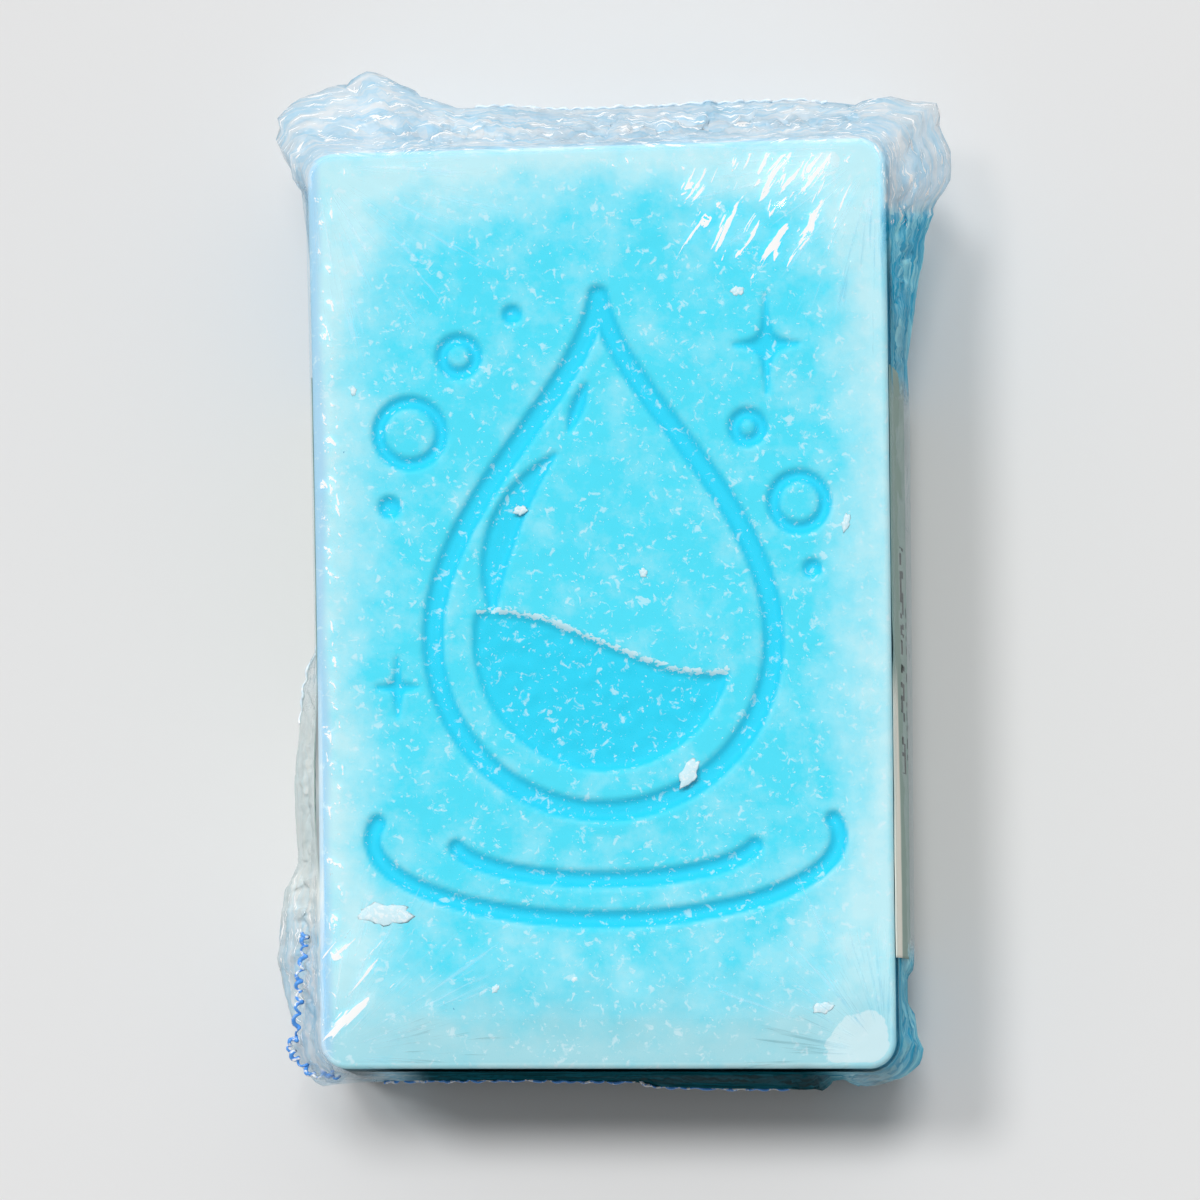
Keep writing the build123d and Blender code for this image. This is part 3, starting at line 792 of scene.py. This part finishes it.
# Where white highlights are painted on the film: streaks near the far right and near left corners, and specks along the
# left and far edges.
far_right = smooth(23, 7, np.hypot((skin_x - 20) / 1.0, (skin_y - 44) / 0.62)) * (skin_y < 50.2)
near_left = smooth(19, 3, np.hypot((skin_x + 28) / 0.75, (skin_y + 42) / 1.15))
edge_glints = smooth(2.8, 0.6, np.abs(skin_x + 30.2)) * smooth(52, 46, np.abs(skin_y))
edge_glints = np.maximum(edge_glints, 0.9 * smooth(2.6, 0.5, np.abs(skin_y - 49.0)) * (np.abs(skin_x) < 30.5))
paint(film, "far_glint_zone", far_right)
paint(film, "near_glint_zone", near_left)
paint(film, "edge_glints", edge_glints * (skin[:, 2] > face_z))

# Where a point is along the folds: around the rim as a circle, and down the film as height.
turn = 2 * np.pi * walk / round_trip
ring_radius = round_trip / (2 * np.pi)
down = np.concatenate([[0], np.cumsum([np.linalg.norm(b - a, axis=1).mean() for a, b in zip(film_rings, film_rings[1:])])]) / MM
slide = 1.5 * around(26, 71)
fold_space = np.zeros((len(film.data.vertices), 3), dtype=np.float32)
fold_space[inner_x.size: len(skin)] = np.stack([
    np.tile(ring_radius * np.cos(turn), len(film_rings)), np.tile(ring_radius * np.sin(turn), len(film_rings)),
    (down[:, None] + slide[None, :]).ravel()], 1)
film.data.attributes.new("fold_space", "FLOAT_VECTOR", "POINT").data.foreach_set("vector", fold_space.ravel())

film_finish = Finish("clear_shrink_film")
along_folds = film_finish.read("fold_space", "Vector")
loose_share = film_finish.read("gathered")
fibres = film_finish.add("ShaderNodeTexNoise")
film_finish.set(fibres, Scale=1.0, Detail=4.0, Roughness=0.62, Distortion=0.7)
film_finish.join(film_finish.space((8.0, 8.0, 0.8), 0.0, along_folds), fibres.inputs["Vector"])
clouds = film_finish.add("ShaderNodeTexNoise")
film_finish.set(clouds, Scale=1.0, Detail=2.0, Roughness=0.5, Distortion=0.4)
film_finish.join(film_finish.space((9.0, 9.0, 3.0), 0.0, along_folds), clouds.inputs["Vector"])
paleness = film_finish.maths("MULTIPLY_ADD", fibres.outputs["Fac"], 3.4, -1.3)
paleness = film_finish.maths("MINIMUM", film_finish.maths("MAXIMUM", paleness, 0.0), 1.0)
facets = film_finish.add("ShaderNodeTexVoronoi", feature="F1")
film_finish.set(facets, Scale=1.0, Randomness=1.0)
film_finish.join(film_finish.space((3.2, 3.2, 1.5), 0.0, along_folds), facets.inputs["Vector"])
facet_tone = film_finish.add("ShaderNodeSeparateColor")
film_finish.join(facets.outputs["Color"], facet_tone.inputs["Color"])
paleness = film_finish.maths("MULTIPLY_ADD", facet_tone.outputs["Red"], 0.6, film_finish.maths("ADD", paleness, -0.3))
paleness = film_finish.maths("MINIMUM", film_finish.maths("MAXIMUM", paleness, 0.0), 1.0)
tint = film_finish.blend(paleness, (0.48, 0.80, 1.0, 1), (0.98, 1.0, 1.0, 1))
# Painted light through the paper over the left flap.
tint = film_finish.blend(film_finish.maths("MULTIPLY", film_finish.read("flap_glow"), 0.7), tint, (0.93, 0.98, 0.94, 1))
# Painted shade: film over the shaded right side and front takes dark blue, near black at the front.
shade_tint = film_finish.blend(paleness, (0.002, 0.40, 0.68, 1), (0.38, 0.88, 1.0, 1))
front_shade_tint = film_finish.blend(paleness, (0.001, 0.035, 0.045, 1), (0.004, 0.10, 0.14, 1))
shade_tint = film_finish.blend(film_finish.read("under_front"), shade_tint, front_shade_tint)
tint = film_finish.blend(film_finish.read("in_shade"), tint, shade_tint)
# Painted highlights: white streaks and specks laid on the film as opaque white, for glints of the lamps on its folds.
loose_glints = film_finish.flecks(film_finish.space((3.2, 3.2, 0.45), 0.0, along_folds), loose_share, 0.595, 0.02)
far_glints = film_finish.flecks(film_finish.space((0.0055, 0.0013, 0.004), 58), film_finish.read("far_glint_zone"), 0.553, 0.012, 1.2)
near_glints = film_finish.flecks(film_finish.space((0.0080, 0.0011, 0.004), 46, None, 0.3), film_finish.read("near_glint_zone"), 0.60, 0.012, 0.8)
speck_glints = film_finish.flecks(film_finish.space((0.0009, 0.0016, 0.002), 20), film_finish.read("edge_glints"), 0.59, 0.015)
glints = film_finish.maths("MAXIMUM", film_finish.maths("MAXIMUM", far_glints, near_glints), film_finish.maths("MAXIMUM", loose_glints, speck_glints))
tint = film_finish.blend(glints, tint, (1.0, 1.0, 1.0, 1))
film_finish.join(tint, film_finish.shader.inputs["Base Color"])
film_finish.set(film_finish.shader, Roughness=0.45, Specular_IOR_Level=0.0)
ripple = film_finish.add("ShaderNodeBump")
film_finish.set(ripple, Strength=0.5, Distance=0.0004)
folds = film_finish.maths("MULTIPLY_ADD", facets.outputs["Distance"], 0.8, fibres.outputs["Fac"])
film_finish.join(film_finish.maths("MULTIPLY", folds, loose_share), ripple.inputs["Height"])
clear = film_finish.add("ShaderNodeBsdfTransparent")
clear.inputs["Color"].default_value = (0.97, 0.99, 1.0, 1)
gloss = film_finish.add("ShaderNodeBsdfAnisotropic")
film_finish.set(gloss, Color=(1, 1, 1, 1), Roughness=0.07)
film_finish.join(ripple.outputs["Normal"], gloss.inputs["Normal"])
haze_and_shade, shiny = film_finish.add("ShaderNodeMixShader"), film_finish.add("ShaderNodeMixShader")
fresnel = film_finish.add("ShaderNodeFresnel")
fresnel.inputs["IOR"].default_value = 1.42
haze = film_finish.maths("MULTIPLY_ADD", clouds.outputs["Fac"], 0.62, 0.20)
haze = film_finish.maths("MINIMUM", haze, 0.86)
haze = film_finish.maths("MULTIPLY_ADD", haze, film_finish.read("haze_and_shade"), 0.02)
# Painted sheen: faint white streaks that fan out from the corners, added to the haze.
corner_sheen = film_finish.flecks(film_finish.space((0.9, 13.0, 1.0), 0.0, film_finish.read("from_corner", "Vector")), film_finish.read("near_corner"), 0.54, 0.10, 0.3)
haze = film_finish.maths("MAXIMUM", film_finish.maths("MULTIPLY_ADD", corner_sheen, 0.22, haze), glints)
shine = film_finish.maths("MINIMUM", fresnel.outputs["Fac"], film_finish.maths("MULTIPLY_ADD", film_finish.read("dull"), -0.12, 0.12))
path = film_finish.add("ShaderNodeLightPath")
lets_light_by = film_finish.maths("MULTIPLY_ADD", path.outputs["Is Shadow Ray"], -0.8, 1.0)
for factor, blend, low, high in (
    (haze, haze_and_shade, clear.outputs["BSDF"], film_finish.shader.outputs["BSDF"]),
    (shine, shiny, haze_and_shade.outputs["Shader"], gloss.outputs["BSDF"]),
):
    film_finish.join(film_finish.maths("MULTIPLY", factor, lets_light_by), blend.inputs["Fac"])
    film_finish.join(low, blend.inputs[1])
    film_finish.join(high, blend.inputs[2])
film_finish.join(shiny.outputs["Shader"], film_finish.output.inputs["Surface"])
film.data.materials.append(film_finish.material)
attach(film, "root")
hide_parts("film_upper_web", "film_lower_web", "film_ear_back_left", "film_ear_back_right",
            "film_ear_front_right", "film_ear_front_left")

# --- Paper label ---
# One band of uncoated paper round the back and both long sides, under the film. Its free edges lift a
# little off the clay. The print is rows of plain blocks and rules, with no words.
label_low, label_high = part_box("paper_label")
paper = 0.10 * MM
label_gap = 0.03 * MM
flap_top = label_high.z
band_step = 0.35 * MM


def band_profile(gap):
    """The label's section across the block, from the left flap's free edge, under the back, to the right
    flap's: straight flaps along the drafted sides, round corners and a straight back, each point with its
    outward direction and its height share up a flap."""
    foot_x = face_half[0] + (face_z - back_z) * math.tan(draft)
    r = back_round + gap
    centre_x = foot_x + back_round * 0.0 - back_tangent_run
    centre_z = back_z + back_round
    wall_count, turn_count, back_count = 64, 8, 60
    wall = np.linspace(0, 1, wall_count)[:-1]
    wall_start_z = centre_z + r * math.sin(draft)
    wall_z = flap_top + (wall_start_z - flap_top) * wall
    wall_x = centre_x + r * math.cos(draft) - (wall_z - wall_start_z) * math.tan(draft)
    turn = np.linspace(draft, -math.pi / 2, turn_count)
    turn_x, turn_z = centre_x + r * np.cos(turn), centre_z + r * np.sin(turn)
    right = np.concatenate([
        np.stack([wall_x, wall_z, np.full_like(wall_x, math.cos(draft)), np.full_like(wall_x, math.sin(draft)), 1 - wall], 1),
        np.stack([turn_x, turn_z, np.cos(turn), np.sin(turn), np.zeros_like(turn)], 1),
    ])
    left = right[::-1] * [-1, 1, -1, 1, 1]
    back_x = np.linspace(-centre_x, centre_x, back_count)[1:-1]
    back = np.stack([back_x, np.full_like(back_x, centre_z - r), np.zeros_like(back_x), np.full_like(back_x, -1.0), np.zeros_like(back_x)], 1)
    return np.concatenate([left[::-1], back, right[::-1]])


back_tangent_run = back_round / math.tan((math.pi / 2 - draft) / 2)
profile = band_profile(label_gap)
stations = np.linspace(label_low.y, label_high.y, int((label_high.y - label_low.y) / band_step) + 1)
section_x, band_y = np.meshgrid(profile[:, 0], stations)
section_z, out_x = np.meshgrid(profile[:, 1], stations)[0], np.meshgrid(profile[:, 2], stations)[0]
out_z, up_flap = np.meshgrid(profile[:, 3], stations)[0], np.meshgrid(profile[:, 4], stations)[0]
on_right = section_x > 0
y_mm = band_y / MM
lean_out = np.where(
    on_right,
    0.02 + 0.12 * smooth(4.0, 0, np.abs(y_mm + 5)),
    0.03 + 0.40 * smooth(13, 2, np.abs(y_mm + 20)),
)
sag = 0.95 * on_right * np.sin(math.pi * np.clip(up_flap, 0, 1)) ** 0.8 * smooth(0, 0.1, out_x)
bend = 0.20 * on_right * smooth(-8, -30, y_mm) * smooth(1.0, 0.92, up_flap) * smooth(0.3, 0.8, up_flap)
stand_off = MM * (sag + lean_out * up_flap**2.2 + bend + 0.015 * (1 + swell(y_mm, section_z / MM, 6, 63)) * smooth(0, 0.2, up_flap))
slant = np.where(on_right, (1 - up_flap) * 1.8, 0.0) * smooth(12, 26, y_mm)
lift = 0.9 * MM * on_right * up_flap * smooth(-18, -28, y_mm)
band = np.stack([section_x + out_x * stand_off, band_y - slant * MM, section_z + out_z * stand_off + lift], -1)
rows, columns = band.shape[:2]
index = np.arange(rows * columns).reshape(rows, columns)
quads = np.stack([index[:-1, :-1], index[1:, :-1], index[1:, 1:], index[:-1, 1:]], -1).reshape(-1, 4)
label = mesh_piece("wrap_label", settled(band.reshape(-1, 3)), quads.tolist())
thickness = label.modifiers.new("paper", "SOLIDIFY")
thickness.thickness, thickness.offset = paper, 1.0
along_band = np.concatenate([[0], np.cumsum(np.hypot(*np.diff(profile[:, :2], axis=0).T))])
# Painted light: a cream strip along the right flap's bent-out top edge, where it catches the light.
paint(label, "lit_strip", (on_right * smooth(0.885, 0.92, up_flap) * smooth(-6, -12, y_mm)).ravel())
print_map = label.data.uv_layers.new(name="print")
corner_vertex = np.zeros(len(label.data.loops), dtype=np.int32)
label.data.loops.foreach_get("vertex_index", corner_vertex)
flat_u, flat_v = np.meshgrid(along_band / MM, stations / MM)
uv = np.stack([flat_u.ravel(), flat_v.ravel()], 1)[corner_vertex]
print_map.data.foreach_set("uv", uv.ravel().astype(np.float32))
label_finish = Finish("printed_paper")
flat_place = label_finish.add("ShaderNodeSeparateXYZ")
label_finish.join(label_finish.add("ShaderNodeUVMap", uv_map="print").outputs["UV"], flat_place.inputs["Vector"])
down_flap = label_finish.maths("SUBTRACT", float(along_band[-1]) / MM, flat_place.outputs["X"])
along_bar = flat_place.outputs["Y"]
line_number = label_finish.maths("FLOOR", label_finish.maths("DIVIDE", down_flap, 3.1))
letters = label_finish.add("ShaderNodeTexNoise", noise_dimensions="2D")
label_finish.set(letters, Scale=1.0, Detail=0.0)
row_space = label_finish.add("ShaderNodeCombineXYZ")
label_finish.join(label_finish.maths("MULTIPLY", along_bar, 0.95), row_space.inputs["X"])
label_finish.join(label_finish.maths("MULTIPLY", line_number, 7.3), row_space.inputs["Y"])
label_finish.join(row_space.outputs["Vector"], letters.inputs["Vector"])
blocks = label_finish.maths("GREATER_THAN", letters.outputs["Fac"], 0.48)
in_line = label_finish.maths("LESS_THAN", label_finish.maths("FRACT", label_finish.maths("DIVIDE", down_flap, 3.1)), 0.5)
ink = 0.0
for middle, half_height, centre, half_length in ((6.2, 1.7, -6.2, 12.6), (11.4, 1.0, -8.0, 9.5)):
    row = label_finish.maths("MULTIPLY", label_finish.maths("COMPARE", down_flap, middle, half_height),
                             label_finish.maths("COMPARE", along_bar, centre, half_length))
    ink = label_finish.maths("MAXIMUM", ink, label_finish.maths("MULTIPLY", row, blocks))
panel = label_finish.maths("MULTIPLY", label_finish.maths("COMPARE", down_flap, 56.0, 24.0), label_finish.maths("COMPARE", along_bar, 0.0, 27.0))
panel = label_finish.maths("MULTIPLY", label_finish.maths("MULTIPLY", panel, blocks), in_line)
ink = label_finish.maths("MAXIMUM", ink, panel)
# Painted shade: the white paper is given the grey-green it takes in shade; the dark blocks are the print.
shaded_paper_tint = label_finish.blend(label_finish.maths("MULTIPLY", ink, 0.92), (0.31, 0.425, 0.38, 1), (0.008, 0.012, 0.010, 1))
# Painted light on the right flap's top edge.
shaded_paper_tint = label_finish.blend(label_finish.read("lit_strip"), shaded_paper_tint, (0.92, 0.90, 0.80, 1))
label_finish.join(shaded_paper_tint, label_finish.shader.inputs["Base Color"])
label_finish.set(label_finish.shader, Roughness=0.85, Specular_IOR_Level=0.2)
label.data.materials.append(label_finish.material)
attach(label, "root")
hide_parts("paper_label")


# --- Weld beads ---
# Where the two webs were sealed and cut, the film's edge shrank into a thin crimped bead.
# It is clear and pale, but a curled run of it at the near left corner is thick enough to look blue.
def rods(name, paths, radii, sides=8):
    """Closed round rods, each swept along its own path: circles set square to the path, then a flat cap
    at each end."""
    vertices, faces, start = [], [], 0
    for path, radius in zip(paths, radii):
        ahead = np.gradient(path, axis=0)
        ahead /= np.linalg.norm(ahead, axis=1)[:, None]
        side = np.cross(ahead, [0, 0, 1])
        side /= np.linalg.norm(side, axis=1)[:, None]
        above = np.cross(side, ahead)
        angle = np.linspace(0, 2 * np.pi, sides, endpoint=False)[None, :, None]
        circle = np.cos(angle) * side[:, None, :] + np.sin(angle) * above[:, None, :]
        vertices.append((path[:, None, :] + radius[:, None, None] * circle).reshape(-1, 3))
        index = start + np.arange(len(path) * sides).reshape(len(path), sides)
        quads = np.stack([index[:-1], np.roll(index, -1, 1)[:-1], np.roll(index, -1, 1)[1:], index[1:]], -1)
        faces += quads.reshape(-1, 4).tolist() + [index[0, ::-1].tolist(), index[-1].tolist()]
        start += len(path) * sides
    return mesh_piece(name, np.concatenate(vertices), faces)


def crimp(path, curl, pitch, step=0.12 * MM):
    """A path walked in even steps with small curls laid over it: a circle's motion at an uneven pace."""
    walk = np.concatenate([[0], np.cumsum(np.linalg.norm(np.diff(path, axis=0), axis=1))])
    at = np.arange(0, walk[-1], step)
    even = np.stack([np.interp(at, walk, path[:, axis]) for axis in range(3)], 1)
    ahead = np.gradient(even, axis=0)
    ahead /= np.linalg.norm(ahead, axis=1)[:, None]
    side = np.cross(ahead, [0, 0, 1])
    phase = 2 * np.pi * (at / pitch) + 2.2 * np.sin(at / (2.3 * pitch)) + 1.3 * np.sin(at / (0.9 * pitch))
    return even + curl * (np.cos(phase)[:, None] * side + 0.5 * np.sin(phase)[:, None] * ahead + np.sin(1.3 * phase)[:, None] * [0, 0, 0.6])


seam_ring = settled(film_rings[12 + 6 + 18 - 1])
seam_x, seam_y = seam_ring[:, 0] / MM, seam_ring[:, 1] / MM
runs = []
for member in (
    (ray[:, 0] < -0.7) & (np.abs(seam_y - 10.7) < 23.0),
    (ray[:, 1] < -0.7) & (np.abs(seam_x + 3.0) < 23.0),
    (ray[:, 1] > 0.7) & (np.abs(seam_x - 5.2) < 20.5),
):
    runs.append(seam_ring[member])
curl_turns = np.array([
    (-33.7, -36.0), (-33.9, -38.8), (-34.5, -41.2), (-34.4, -43.4), (-34.9, -46.0), (-34.7, -47.4), (-35.9, -48.4),
    (-35.2, -49.9), (-34.2, -50.7), (-33.2, -51.9), (-31.8, -51.5), (-30.3, -52.0),
])
curl_height = np.interp(np.arange(len(curl_turns)), [0, 3, 6, 11], [21.5, 20.5, 18.0, 17.0])
runs.append(np.column_stack([curl_turns, curl_height]) * MM)
paths = [crimp(run, 0.10 * MM, 1.9 * MM) for run in runs[:3]] + [crimp(runs[3], 0.34 * MM, 1.25 * MM)]
radii = [0.16 * MM * (1 + 0.25 * np.sin(np.arange(len(path)) * 0.23)) for path in paths[:3]]
radii.append(0.20 * MM * (1 + 0.35 * np.sin(np.arange(len(paths[3])) * 0.31)))
beads = rods("weld_beads", paths, radii)
thick = np.zeros(len(beads.data.vertices))
thick[-len(paths[3]) * 8:] = 1.0
thick[len(paths[0]) * 8: (len(paths[0]) + len(paths[1])) * 8] = 1.0
paint(beads, "thick", thick)
bead_finish = Finish("shrunk_film_bead")
# Painted highlights: pale white spots on the beads, for glints of the lamps.
bead_glints = bead_finish.flecks(bead_finish.space((0.0009, 0.0007, 0.0009)), 1.0, 0.52, 0.08)
bead_tint = bead_finish.blend(bead_finish.read("thick"), (0.78, 0.90, 0.98, 1), (0.10, 0.36, 0.90, 1))
bead_finish.join(bead_finish.blend(bead_glints, bead_tint, (0.93, 0.97, 1.0, 1)), bead_finish.shader.inputs["Base Color"])
bead_finish.set(bead_finish.shader, Roughness=0.2, Specular_IOR_Level=0.5)
beads.data.materials.append(bead_finish.material)
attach(beads, "root")
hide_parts("film_weld_beads")


# --- Clay flakes ---
# Crumbs of the same clay, rubbed white, that lie on the face under the film.
def crumb(x, y, length, width, turn, seed, spokes=26, hoops=7):
    """A thin chip: hoops of points with an uneven outline, thick in the middle and rough on top, over a
    flat underside."""
    draw = np.random.default_rng(seed)
    angle = np.linspace(0, 2 * np.pi, spokes, endpoint=False)
    edge = 1 + 0.16 * np.sin(2 * angle + draw.uniform(0, 6)) + 0.13 * np.sin(5 * angle + draw.uniform(0, 6)) + 0.10 * np.sin(9 * angle + draw.uniform(0, 6))
    share = np.linspace(0, 1, hoops + 1)[1:]
    along = share[:, None] * edge * np.cos(angle) * length / 2
    across = share[:, None] * edge * np.sin(angle) * width / 2
    c, s = math.cos(math.radians(turn)), math.sin(math.radians(turn))
    px, py = x + along * c - across * s, y + along * s + across * c
    pz = 0.11 * (1 - share[:, None] ** 3) + 0.03 * swell(px, py, 0.5, seed) * (1 - share[:, None])
    upper = np.stack([px, py, pz], -1).reshape(-1, 3)
    vertices = np.concatenate([[[x, y, 0.12]], upper])
    index = 1 + np.arange(hoops * spokes).reshape(hoops, spokes)
    after = np.roll(index, -1, 1)
    faces = [(0, a, b) for a, b in zip(index[0].tolist(), after[0].tolist())]
    faces += np.stack([index[:-1], index[1:], after[1:], after[:-1]], -1).reshape(-1, 4).tolist()
    return vertices, faces + [index[-1, ::-1].tolist()]


crumb_points, crumb_faces, first = [], [], 0
for seed, place in enumerate((
    (-24.6, -34.3, 5.4, 2.7, 3), (15.5, 34.6, 1.3, 1.2, 5), (-12.4, -42.6, 1.1, 0.7, 70), (9.4, -18.9, 3.6, 1.7, 52),
    (27.2, 8.6, 1.8, 1.0, 75), (-9.0, 10.6, 1.5, 1.1, 30), (4.6, 3.4, 1.2, 0.8, 120), (-27.4, 24.4, 1.2, 0.6, 100),
    (-3.6, -41.6, 0.9, 0.6, 15), (24.0, -44.8, 2.2, 1.3, 20),
)):
    points, faces = crumb(*place, 90 + seed)
    crumb_points.append(points)
    crumb_faces += [[first + corner for corner in face] for face in faces]
    first += len(points)
crumb_points = np.concatenate(crumb_points)
crumb_points[:, 2] += face_z / MM + 0.01
flakes = mesh_piece("clay_crumbs", settled(crumb_points * MM), crumb_faces)
flake_finish = Finish("rubbed_clay")
flake_spots = flake_finish.flecks(flake_finish.space((0.0005, 0.0005, 0.0005)), 1.0, 0.5, 0.1)
flake_finish.join(flake_finish.blend(flake_spots, (0.70, 0.90, 0.95, 1), (0.90, 0.97, 0.98, 1)), flake_finish.shader.inputs["Base Color"])
flake_finish.set(flake_finish.shader, Roughness=0.7, Specular_IOR_Level=0.2)
flakes.data.materials.append(flake_finish.material)
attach(flakes, "root")
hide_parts("clay_flakes")

low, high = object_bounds()
